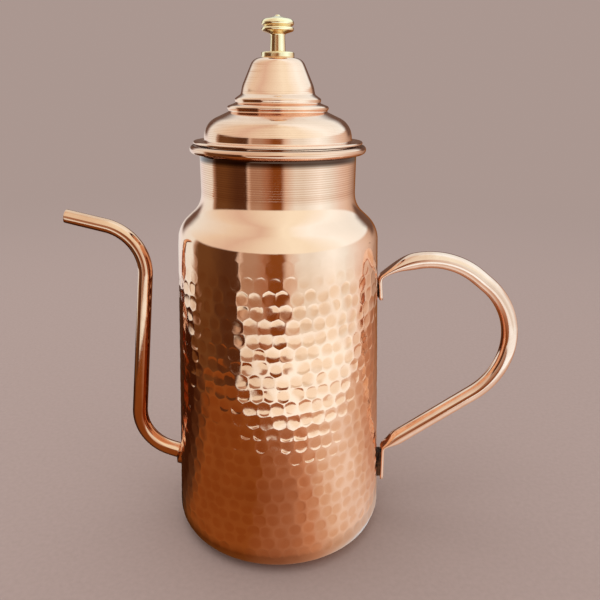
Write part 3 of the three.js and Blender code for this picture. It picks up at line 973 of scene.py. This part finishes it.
def hammered_band(bm, wall, foot_top, upper_foot):
    """One cell of mesh for each mark: a brick bond, its bricks pulled to six corners."""
    hammer = wall.hammer
    columns = 2 * hammer.marks
    low = hammer.lowest - hammer.row_pitch / 2
    levels = [low + hammer.row_pitch * k for k in range(hammer.rows + 1)]
    before = set(bm.verts)
    spin_line(bm, [(wall.mean, z) for z in levels], columns, sectors=4)
    grid = {}
    for vert in bm.verts:
        if vert in before:
            continue
        column = round(math.atan2(vert.co.y, vert.co.x) % TURN / TURN * columns) % columns
        grid[column, round((vert.co.z - low) / hammer.row_pitch)] = vert
    joints = []
    for (column, ring), vert in grid.items():
        if ring < hammer.rows and (column + ring) % 2:
            other = grid[column, ring + 1]
            joints.append(next(e for e in vert.link_edges if e.other_vert(vert) == other))
    bmesh.ops.dissolve_edges(bm, edges=joints)
    for (column, ring), vert in grid.items():
        vert.co = wall.on_wall(wall.corner(column, ring))
    cells = []
    for row in range(hammer.rows):
        for k in range(hammer.marks):
            column = 2 * k + 1 + row % 2
            below = grid[column % columns, row]
            above = grid[column % columns, row + 1]
            cell = next(f for f in below.link_faces if above in f.verts)
            cells.append((cell, *wall.mark(row, column)[:2]))
    edges = in_order(edge for cell, _, _ in cells for edge in cell.edges)
    bmesh.ops.bisect_edges(bm, edges=edges, cuts=2)

    def unrolled(vert, centre):
        """Place of a vertex, from the mark's middle."""
        turn = math.atan2(vert.co.y, vert.co.x) - centre.x / wall.mean
        turn = (turn + math.pi) % TURN - math.pi
        return Vector((turn * wall.mean, vert.co.z - centre.y))

    def press(verts):
        """Presses vertices in where they stand."""
        for vert in verts:
            turn = math.atan2(vert.co.y, vert.co.x)
            wall.put(vert, Vector((turn % TURN * wall.mean, vert.co.z)))

    rims = {}
    for cell, centre, radius in cells:
        reaches = [unrolled(vert, centre) for vert in cell.verts]
        rims[cell] = [reach * min(radius / reach.length, wall.CELL_FILL) for reach in reaches]
    press(in_order(vert for cell in rims for vert in cell.verts))
    for share_out in wall.RINGS:
        bmesh.ops.inset_individual(bm, faces=list(rims), thickness=0.1 * MM)
        for cell, centre, _ in cells:
            for vert, reach in zip(cell.verts, rims[cell]):
                wall.put(vert, centre + reach * share_out)
    press(bmesh.ops.poke(bm, faces=list(rims))["verts"])
    half_way = (foot_top + upper_foot) / 2
    open_edges = [edge for edge in bm.edges if edge.is_boundary]
    for lower in (True, False):
        pair = [edge for edge in open_edges if (edge.verts[0].co.z < half_way) == lower]
        bmesh.ops.bridge_loops(bm, edges=pair)


def work_unevenly(bm, pot, hammer):
    """Gives the body the slight unevenness of a sheet that has been worked by hand."""
    foot = pot.base_edge * 1.5
    top = neck_foot(pot)
    for vert in bm.verts:
        reach = math.hypot(vert.co.x, vert.co.y)
        height = vert.co.z
        if not foot < height < top or reach < pot.neck_radius:
            continue
        share_out = smooth_step(height, foot, 2 * foot) * smooth_step(top - height, 0.0, foot)
        coarse = noise.noise(vert.co / hammer.wave)
        fine = noise.noise(vert.co / hammer.wave * 2.3)
        scale = 1 - hammer.unevenness * share_out * (coarse + 0.5 * fine + 1) / reach
        vert.co.x *= scale
        vert.co.y *= scale


class OILPOT_OT_body(bpy.types.Operator):
    """Make the hammered body with its grooved neck and rolled rim."""

    bl_idname = "oilpot.body"
    bl_label = "Body"

    def execute(self, context):
        pot, hammer = settings().pot, settings().hammer
        outline = body_outline(pot)
        plain_below, plain_above = 3.0 * MM, 2.2 * MM
        low = hammer.lowest - hammer.row_pitch / 2 - plain_below
        high = hammer.lowest + (hammer.rows - 0.5) * hammer.row_pitch + plain_above
        rising = resample([p for p in outline[1:] if p.y < neck_foot(pot)], 2.0 * MM)
        foot = [outline[0]] + [p for p in rising if p.y < low]
        upper = [p for p in cut_grooves(pot, outline) if p.y > high]
        inner = list(reversed(beside(body_outline(pot, INSIDE_SAG), pot.sheet)))
        bm = bmesh.new()
        pressed = bm.verts.layers.float.new("pressed")
        spin_line(bm, foot, 4 * hammer.marks)
        spin_line(bm, upper + resample(inner, 30 * MM), NECK_STEPS)
        hammered_band(bm, HammeredWall(pot, hammer, rising, pressed), low, high)
        work_unevenly(bm, pot, hammer)
        make_piece(bm, "hammered_body", "pot", "wall", "body_shell")
        finish_node("rim_wire", "steel")
        return {"FINISHED"}


def spout_line(pot, spout):
    """The spout's middle line, from just outside the wall to the tip."""
    root = Vector((-wall_radius(pot, spout.root_height), spout.root_height))
    heading = math.pi - spout.root_rise
    way = Vector((math.cos(heading), math.sin(heading)))
    riser = math.pi / 2 - spout.lean
    tip = math.pi - spout.tip_rise
    lower_leg = spout.bend * math.tan((heading - riser) / 2)
    upper_leg = spout.bend * math.tan((tip - riser) / 2)
    foot = root + way * (spout.root_straight + lower_leg)
    run = spout.tip_straight + upper_leg
    rise = spout.tip_height - run * math.sin(tip) - foot.y
    bend_x = foot.x + rise / math.tan(riser)
    start = root + way * (pot.fit_gap + 0.6 * MM)
    return round_corners(
        [
            tuple(start),
            (foot.x, foot.y, spout.bend),
            (bend_x, foot.y + rise, spout.bend),
            (bend_x + run * math.cos(tip), spout.tip_height),
        ]
    )


class OILPOT_OT_spout(bpy.types.Operator):
    """Make the spout and the solder round its root."""

    bl_idname = "oilpot.spout"
    bl_label = "Spout"

    def execute(self, context):
        pot, spout = settings().pot, settings().spout
        stations = walk(spout_line(pot, spout), 2.0 * MM)
        total = stations[-1][2]
        lip = 0.35 * MM

        def section(root, tip, side):
            def at(distance):
                radius = mix(root, tip, distance / total)
                rounded = lip - (total - distance)
                if rounded > 0:
                    radius += side * (lip - math.sqrt(lip * lip - rounded**2))
                swings = [TURN * k / SPOUT_SIDES for k in range(SPOUT_SIDES)]
                return [(radius * math.cos(a), radius * math.sin(a)) for a in swings]

            return at

        end, heading, _ = stations.pop()
        way = Vector((math.cos(heading), math.sin(heading)))
        for share_left in (1.0, 0.7, 0.4, 0.15, 0.0):
            left = lip * share_left
            stations.append((end - way * left, heading, total - left))
        outer = section(spout.root_radius, spout.tip_radius, -1.0)
        inner = section(spout.root_bore, spout.tip_bore, 1.0)
        bm = bmesh.new()
        tube(bm, stations, outer, inner)
        fit_to_wall(bm, pot, pot.fit_gap / 2)
        make_piece(bm, "spout_pipe", "pot", "spout", "spout_tube")
        finish_node("spout_solder_ring", "spout")
        return {"FINISHED"}


def fit_to_wall(bm, pot, gap):
    """Moves what reaches into the wall straight out until it is a gap away from it."""
    for vert in bm.verts:
        target = wall_radius(pot, vert.co.z) + gap
        if math.hypot(vert.co.x, vert.co.y) < target:
            swing = math.atan2(vert.co.y, vert.co.x)
            vert.co.x = target * math.cos(swing)
            vert.co.y = target * math.sin(swing)


def handle_end(pot, height, stand_off, tab, splay):
    """The sharp bend above a tab, and the tab's end."""
    lean = wall_lean(pot) + splay
    bend = Vector((wall_radius(pot, height) + stand_off, height))
    return bend, bend + Vector((math.sin(lean), -math.cos(lean))) * tab


class OILPOT_OT_handle(bpy.types.Operator):
    """Make the handle and the solder under its flattened ends."""

    bl_idname = "oilpot.handle"
    bl_label = "Handle"

    def execute(self, context):
        pot, handle = settings().pot, settings().handle
        top = pot.shoulder_height - handle.top_drop
        high, high_end = handle_end(
            pot, top, handle.upper_stand_off, handle.upper_tab, handle.upper_splay
        )
        low, low_end = handle_end(
            pot, handle.foot_height, handle.lower_stand_off, handle.lower_tab, handle.lower_splay
        )
        line = round_corners(
            [
                tuple(high_end),
                (*high, handle.bend),
                (high.x + handle.upper_out, high.y + handle.upper_up, handle.upper_rounding),
                (low.x + handle.lower_out, low.y + handle.lower_up, handle.lower_rounding),
                (*low, handle.bend),
                tuple(low_end),
            ]
        )
        stations = walk(line, 1.6 * MM)
        total = stations[-1][2]
        half_tab = handle.wall + handle.slit / 2

        def section(shrink):
            def at(distance):
                from_high = distance - handle.upper_tab
                from_low = total - distance - handle.lower_tab
                swollen = min(
                    smooth_step(from_high, 0.0, handle.upper_swelling),
                    smooth_step(from_low, 0.0, handle.lower_swelling),
                )
                full = mix(handle.upper_radius, handle.lower_radius, distance / total)
                radius = mix(handle.end_radius, full, swollen)
                return pressed_ring(radius, mix(half_tab, radius, swollen), shrink, HANDLE_SIDES)

            return at

        bm = bmesh.new()
        tube(bm, stations, section(0.0), section(handle.wall))
        make_piece(bm, "handle_pipe", "pot", "handle", "handle_tube")
        finish_node("handle_solder_upper", "solder")
        finish_node("handle_solder_lower", "solder")
        return {"FINISHED"}


def hole_radius(pot, knob):
    """Radius of the holes that the knob's screw goes through."""
    return knob.screw_radius + pot.fit_gap


def lid_outline(pot, lid, screw_hole):
    """The closed outline of the lid's sheet with its hemmed flange."""
    seat = lid_seat(pot)
    flange_top = seat + 2 * lid.sheet
    flange = roll_centre(pot).x + lid.over_rim
    foot = plug_outer(pot, lid) - lid.wall_inset
    tip = lid.inner_bend + lid.sheet
    top = round_corners(
        [
            (screw_hole, crown_top(pot, lid)),
            (lid.crown_radius, crown_top(pot, lid), lid.crown_rounding),
            (lid.belly_radius, seat + lid.belly_height, lid.belly_rounding),
            (lid.bell_radius, seat + lid.bell_height, lid.bell_rounding),
            (lid.bead_radius, seat + lid.bead_height + lid.bead_rise, tip),
            (lid.bead_foot, seat + lid.bead_height, lid.hollow),
            (lid.ridge_radius, seat + lid.ridge_height + lid.ridge_rise, tip),
            (lid.ridge_foot, seat + lid.ridge_height, lid.hollow),
            (foot, seat + lid.dome_height, lid.dome_rounding),
            (foot, flange_top, lid.flange_corner),
            (flange - lid.sheet, flange_top),
        ]
    )
    top = resample(top, 1.5 * MM)
    under = beside(top, -lid.sheet)[:-1]
    middle = Vector((flange - lid.sheet, seat + lid.sheet))
    edge = arc(middle, lid.sheet, math.pi / 2, -math.pi / 2, 10)[1:]
    hem_end = flange - lid.hem
    hem = [Vector((hem_end, seat)), Vector((hem_end, seat + lid.sheet))]
    return top + edge + hem + list(reversed(under))


class OILPOT_OT_lid(bpy.types.Operator):
    """Make the spun lid and the ring that drops into the neck."""

    bl_idname = "oilpot.lid"
    bl_label = "Lid"

    def execute(self, context):
        pot, lid, knob = settings().pot, settings().lid, settings().knob
        sheet = lid_outline(pot, lid, hole_radius(pot, knob))
        turn_piece(sheet, LID_STEPS, "spun_lid", "lid", "copper", "lid", "lid_shell")
        outer = plug_outer(pot, lid)
        top = lid_seat(pot) + lid.sheet
        ring = rectangle(outer - lid.plug_sheet, outer, top - lid.plug_depth, top, 0.25 * MM)
        turn_piece(ring, SKIRT_STEPS, "lid_skirt", "lid", "copper", "lid", "lid_plug_ring")
        finish_node("lid_plug_solder", "solder")
        return {"FINISHED"}


def knob_outline(pot, lid, knob):
    """The closed outline of the turned knob with its bore."""
    hole = hole_radius(pot, knob)
    foot = crown_top(pot, lid) + knob.washer
    column = foot + knob.column
    lower_top = column + knob.lower_disc
    upper_foot = lower_top + knob.groove_height
    upper_top = upper_foot + knob.upper_disc
    crown = upper_top + knob.crown
    hole_top = foot + knob.screw_grip + pot.fit_gap
    sharp = 0.12 * MM
    return round_corners(
        [
            (0.0, hole_top),
            (hole, hole_top),
            (hole, foot),
            (knob.foot_radius, foot, sharp),
            (knob.top_radius, column, knob.column_rounding),
            (knob.disc_radius, column + knob.lower_disc / 2, knob.disc_edge),
            (knob.disc_radius, lower_top, knob.disc_edge),
            (knob.groove_radius, lower_top + knob.groove_height / 2, sharp),
            (knob.disc_radius, upper_foot, knob.disc_edge),
            (knob.disc_radius, upper_top, knob.top_edge),
            (knob.nipple_radius, crown, sharp),
            (knob.nipple_radius, crown + knob.nipple_height, 0.3 * MM),
            (0.0, crown + knob.nipple_height),
        ],
        KNOB_SAG,
    )


class OILPOT_OT_knob(bpy.types.Operator):
    """Make the brass knob with its washers and screw."""

    bl_idname = "oilpot.knob"
    bl_label = "Knob"

    def execute(self, context):
        pot, lid, knob = settings().pot, settings().lid, settings().knob
        hole = hole_radius(pot, knob)
        line = knob_outline(pot, lid, knob)
        turn_piece(line, KNOB_STEPS, "turned_knob", "lid", "brass", "brass", "knob", closed=False)
        top = crown_top(pot, lid)
        seat = rectangle(hole, knob.washer_radius, top, top + knob.washer, 0.3 * MM)
        turn_piece(seat, KNOB_STEPS, "seat_washer", "lid", "brass", "brass", "knob_seat_washer")
        under = top - lid.sheet
        foot = under - knob.inner_washer
        line = rectangle(hole, knob.inner_washer_radius, foot, under, 0.15 * MM)
        names = ("inner_washer", "lid", "steel", "steel", "knob_inner_washer")
        turn_piece(line, INNER_WASHER_STEPS, *names)
        finish_node("knob_screw", "steel")
        return {"FINISHED"}


# Stage


def turn_of(tree, x, y):
    """Turn of a direction from the camera's side, as a share of a full turn."""
    turn = math_node(tree, "ARCTAN2", x, times(tree, y, -1.0))
    return map_value(tree, turn, -math.pi, math.pi)


def turn_ramp(tree, turn, table, brightest=1.0):
    """Colours by the turn from the camera's side, from rows of degrees and a tone or grey."""
    ramp = add_node(tree, "ShaderNodeValToRGB", {0: turn})
    stops = ramp.color_ramp.elements
    for degrees, _ in table[1:-1]:
        stops.new((degrees + 180) / 360)
    for stop, (_, tone) in zip(stops, table):
        rgb = tone if isinstance(tone, tuple) else (tone,) * 3
        stop.color = solid([c / brightest for c in rgb])
    scale = solid([brightest] * 3)
    return mix_colours(tree, 1.0, ramp.outputs["Color"], scale, "MULTIPLY")


# Tones of the soft room that the metal shows, from the darkest to the brightest
SOOT = (0.045, 0.014, 0.005)
UMBER = (0.10, 0.045, 0.02)
BROWN = (0.16, 0.08, 0.03)
RUST = (0.27, 0.10, 0.025)
CLAY = (0.44, 0.25, 0.16)
DUSK = (0.48, 0.36, 0.28)
ROSE = (0.62, 0.40, 0.28)
SAND = (0.82, 0.78, 0.73)
LINEN = (0.92, 1.00, 0.94)
PAPER = (0.94, 1.02, 1.08)
CREAM = (1.10, 1.36, 1.36)
DAY = (0.96, 1.22, 1.34)
SKY = (1.06, 1.45, 1.70)
GLARE = (1.20, 1.65, 1.97)

# Turn from the camera's side in degrees, and the tone that the metal shows there: of
# the floor close by, of what stands on it, of the room above and of the ceiling
# Painted glow: the floor gives off these tones, and only glossy rays see them
PAINTED_FLOOR_GLOW = (
    (-180, UMBER), (-120, SOOT), (-100, SOOT), (-88, UMBER), (-73, RUST), (-20, RUST),
    (12, CLAY), (24, ROSE), (42, SAND), (58, PAPER), (72, PAPER), (84, SAND),
    (107, ROSE), (130, CLAY), (152, RUST), (180, UMBER),
)
TABLE = (
    (-180, UMBER), (-112, BROWN), (-85, BROWN), (-60, UMBER), (-43, UMBER), (-39, DAY),
    (5, GLARE), (82, GLARE), (104, PAPER), (115, SAND), (128, ROSE), (138, CLAY),
    (152, RUST), (180, UMBER),
)
ROOM = (
    (-180, RUST), (-162, SAND), (-146, PAPER), (-125, DAY), (-109, DAY), (-104, DUSK),
    (-98, BROWN), (-80, BROWN), (-60, UMBER), (-45, UMBER), (-41, SAND), (-37, DUSK),
    (-24, DUSK), (-14, CLAY), (-5, RUST), (6, RUST), (12, SAND), (26, DAY), (38, DAY),
    (64, GLARE), (80, SKY), (104, PAPER), (122, SAND), (144, DUSK), (160, RUST),
    (180, RUST),
)
OVERHEAD = (
    (-180, DAY), (-130, DAY), (-95, LINEN), (-58, SAND), (-30, LINEN), (20, CREAM),
    (40, CREAM), (85, GLARE), (130, SKY), (180, DAY),
)
BRIGHTEST = 2.2
# What the metal shows of the far side of the room
FAR_SIDE = (0.16, 0.10, 0.075)
# Sines of the heights at which the tables end, the ceiling starts, and the far side
# begins and ends, and how far back it starts
TABLES_END = (-0.31, -0.285)
CEILING_START = (0.20, 0.30)
FAR_FOOT = (-0.06, 0.08)
FAR_TOP = (0.62, 0.30)
FAR_BACK = (0.66, 0.84)
# Painted contact shadow: how bright the floor's painted glow is right beside the pot, and the reach
# of that painted shade
PAINTED_CONTACT_SHADE = ((-180, 0.4), (-120, 0.15), (-60, 0.3), (-10, 0.6), (40, 0.8), (120, 0.75), (180, 0.4))
PAINTED_CONTACT_REACH = (48 * MM, 70 * MM)
# How far the floor reaches in the metal, in metres
EDGE = (
    (-180, 0.5), (-112, 0.4), (-100, 0.27), (-60, 0.27), (-46, 0.28), (-30, 0.258),
    (-11, 0.23), (6, 0.213), (20, 0.2), (60, 0.21), (100, 0.3), (180, 0.5),
)


def stage_floor(finishes, stage):
    """A plain floor that runs into the backdrop without an edge; to glossy rays it is a painted
    glow with a painted contact shadow, clear past its edge.
    """
    bm = bmesh.new()
    bmesh.ops.create_circle(bm, cap_ends=True, segments=96, radius=stage.floor_radius)
    mesh = bpy.data.meshes.new("floor")
    bm.to_mesh(mesh)
    bm.free()
    floor = bpy.data.objects.new("floor", mesh)
    bpy.context.scene.collection.objects.link(floor)
    material, tree, shader, coords = new_material("floor")
    tone = map_value(tree, noise_value(tree, coords, 420.0, 4.0), 0.3, 0.7, 0.96, 1.04)
    tint = join(tree, tone, tone, tone)
    look = {
        "Base Color": mix_colours(tree, 1.0, solid(finishes.floor), tint, "MULTIPLY"),
        "Roughness": 0.8,
        "Specular IOR Level": 0.1,
    }
    fill(shader, look)
    place = split(tree, coords)
    reach = size_of(tree, coords)
    path = tree.nodes.new("ShaderNodeLightPath").outputs
    turn = turn_of(tree, place["X"], place["Y"])
    past_edge = math_node(tree, "GREATER_THAN", reach, turn_ramp(tree, turn, EDGE))
    unseen = times(tree, past_edge, path["Is Glossy Ray"])
    far = map_value(tree, reach, stage.blend_near, stage.blend_far, smooth=True)
    blended = times(tree, far, path["Is Camera Ray"])

    def glow(tone_in):
        return add_node(tree, "ShaderNodeEmission", {"Color": tone_in}).outputs[0]

    def mixed(factor, a, b):
        return add_node(tree, "ShaderNodeMixShader", {0: factor, 1: a, 2: b}).outputs[0]

    # Painted contact shadow: the floor's glow is darkened beside the pot
    away = map_value(tree, reach, *PAINTED_CONTACT_REACH, smooth=True)
    shade = math_node(tree, "MAXIMUM", away, turn_ramp(tree, turn, PAINTED_CONTACT_SHADE))
    shades = join(tree, shade, shade, shade)
    # Painted glow and painted contact shadow: what glossy rays see of the floor
    painted_glow_tones = turn_ramp(tree, turn, PAINTED_FLOOR_GLOW, BRIGHTEST)
    painted_glow = glow(mix_colours(tree, 1.0, painted_glow_tones, shades, "MULTIPLY"))
    near = mixed(path["Is Glossy Ray"], shader.outputs[0], painted_glow)
    seen = mixed(blended, near, glow(solid(finishes.backdrop)))
    clear = tree.nodes.new("ShaderNodeBsdfTransparent").outputs[0]
    output = next(n for n in tree.nodes if n.type == "OUTPUT_MATERIAL")
    fill(output, {"Surface": mixed(unseen, seen, clear)})
    mesh.materials.append(material)


def light_world(finishes):
    """A soft room for the metal to show, and a plain backdrop for the camera."""
    world = bpy.data.worlds.new("soft room")
    bpy.context.scene.world = world
    world.use_nodes = True
    tree = world.node_tree
    tree.nodes.clear()
    way = tree.nodes.new("ShaderNodeTexCoord").outputs["Generated"]
    parts = split(tree, way)
    turn = turn_of(tree, parts["X"], parts["Y"])
    tables, walls, ceiling = (
        turn_ramp(tree, turn, table, BRIGHTEST) for table in (TABLE, ROOM, OVERHEAD)
    )
    above = map_value(tree, parts["Z"], *TABLES_END, smooth=True)
    up = map_value(tree, parts["Z"], *CEILING_START, smooth=True)
    seen = mix_colours(tree, up, mix_colours(tree, above, tables, walls), ceiling)
    foot = map_value(tree, parts["Z"], *FAR_FOOT, smooth=True)
    top = map_value(tree, parts["Z"], *FAR_TOP, smooth=True)
    away = map_value(tree, parts["Y"], *FAR_BACK, smooth=True)
    behind = times(tree, away, times(tree, foot, top))
    seen = mix_colours(tree, behind, seen, solid(FAR_SIDE))
    path = tree.nodes.new("ShaderNodeLightPath").outputs
    plain = mix_colours(tree, path["Is Glossy Ray"], (1.0, 0.99, 0.99, 1.0), seen)
    backdrop = mix_colours(tree, path["Is Camera Ray"], plain, solid(finishes.backdrop))
    shine = add_node(tree, "ShaderNodeBackground", {"Color": backdrop, "Strength": 1.0})
    fill(tree.nodes.new("ShaderNodeOutputWorld"), {"Surface": shine.outputs[0]})


def hang_lamp(size, power, place, aim):
    """A soft square lamp that neither the camera nor the metal shows."""
    data = bpy.data.lights.new("top light", "AREA")
    data.shape = "RECTANGLE"
    data.size = data.size_y = size
    data.energy = power
    lamp = bpy.data.objects.new("top light", data)
    lamp.location = place
    way = Vector(aim) - Vector(place)
    lamp.rotation_euler = way.to_track_quat("-Z", "Y").to_euler()
    lamp.visible_camera = False
    lamp.visible_glossy = False
    bpy.context.scene.collection.objects.link(lamp)


def place_camera(stage):
    data = bpy.data.cameras.new("camera")
    data.sensor_width = 36.0
    data.lens = stage.lens
    data.clip_start = 0.01
    data.clip_end = 50.0
    camera = bpy.data.objects.new("camera", data)
    bpy.context.scene.collection.objects.link(camera)
    place = Matrix.Translation((stage.camera_x, -stage.camera_y, stage.camera_z))
    pitch = Matrix.Rotation(math.pi / 2 - stage.camera_pitch, 4, "X")
    camera.matrix_world = place @ pitch @ Matrix.Rotation(stage.camera_roll, 4, "Z")
    bpy.context.scene.camera = camera


class OILPOT_OT_stage(bpy.types.Operator):
    """Make the floor, the soft light and the camera."""

    bl_idname = "oilpot.stage"
    bl_label = "Stage"

    def execute(self, context):
        finishes, stage = settings().finishes, settings().stage
        place_camera(stage)
        stage_floor(finishes, stage)
        light_world(finishes)
        hang_lamp(size=1.6, power=14.0, place=(-0.2, 0.1, 1.6), aim=(0, 0, 0.1))
        context.scene.view_settings.view_transform = "Standard"
        return {"FINISHED"}


# Panel and registration


class OilPotSettings(bpy.types.PropertyGroup):
    """Everything about the oil pot that can be set."""

    pot: PointerProperty(type=PotSizes)
    hammer: PointerProperty(type=HammerSizes)
    spout: PointerProperty(type=SpoutSizes)
    handle: PointerProperty(type=HandleSizes)
    lid: PointerProperty(type=LidSizes)
    knob: PointerProperty(type=KnobSizes)
    finishes: PointerProperty(type=Finishes)
    stage: PointerProperty(type=StageSizes)


OPERATORS = (
    OILPOT_OT_stage,
    OILPOT_OT_body,
    OILPOT_OT_spout,
    OILPOT_OT_handle,
    OILPOT_OT_lid,
    OILPOT_OT_knob,
)


class OILPOT_PT_pieces(bpy.types.Panel):
    """The pieces of the oil pot, each with its button."""

    bl_idname = "OILPOT_PT_pieces"
    bl_label = "Oil pot"
    bl_space_type = "VIEW_3D"
    bl_region_type = "UI"
    bl_category = "Oil pot"

    def draw(self, context):
        for operator in OPERATORS:
            self.layout.operator(operator.bl_idname)


CLASSES = (
    PotSizes,
    HammerSizes,
    SpoutSizes,
    HandleSizes,
    LidSizes,
    KnobSizes,
    Finishes,
    StageSizes,
    OilPotSettings,
    *OPERATORS,
    OILPOT_PT_pieces,
)


def register():
    for cls in CLASSES:
        bpy.utils.register_class(cls)
    bpy.types.Scene.oil_pot = PointerProperty(type=OilPotSettings)


def unregister():
    del bpy.types.Scene.oil_pot
    for cls in reversed(CLASSES):
        bpy.utils.unregister_class(cls)


def main():
    register()
    bpy.ops.oilpot.stage()
    bpy.ops.oilpot.body()
    bpy.ops.oilpot.spout()
    bpy.ops.oilpot.handle()
    bpy.ops.oilpot.lid()
    bpy.ops.oilpot.knob()


if __name__ == "__main__":
    main()
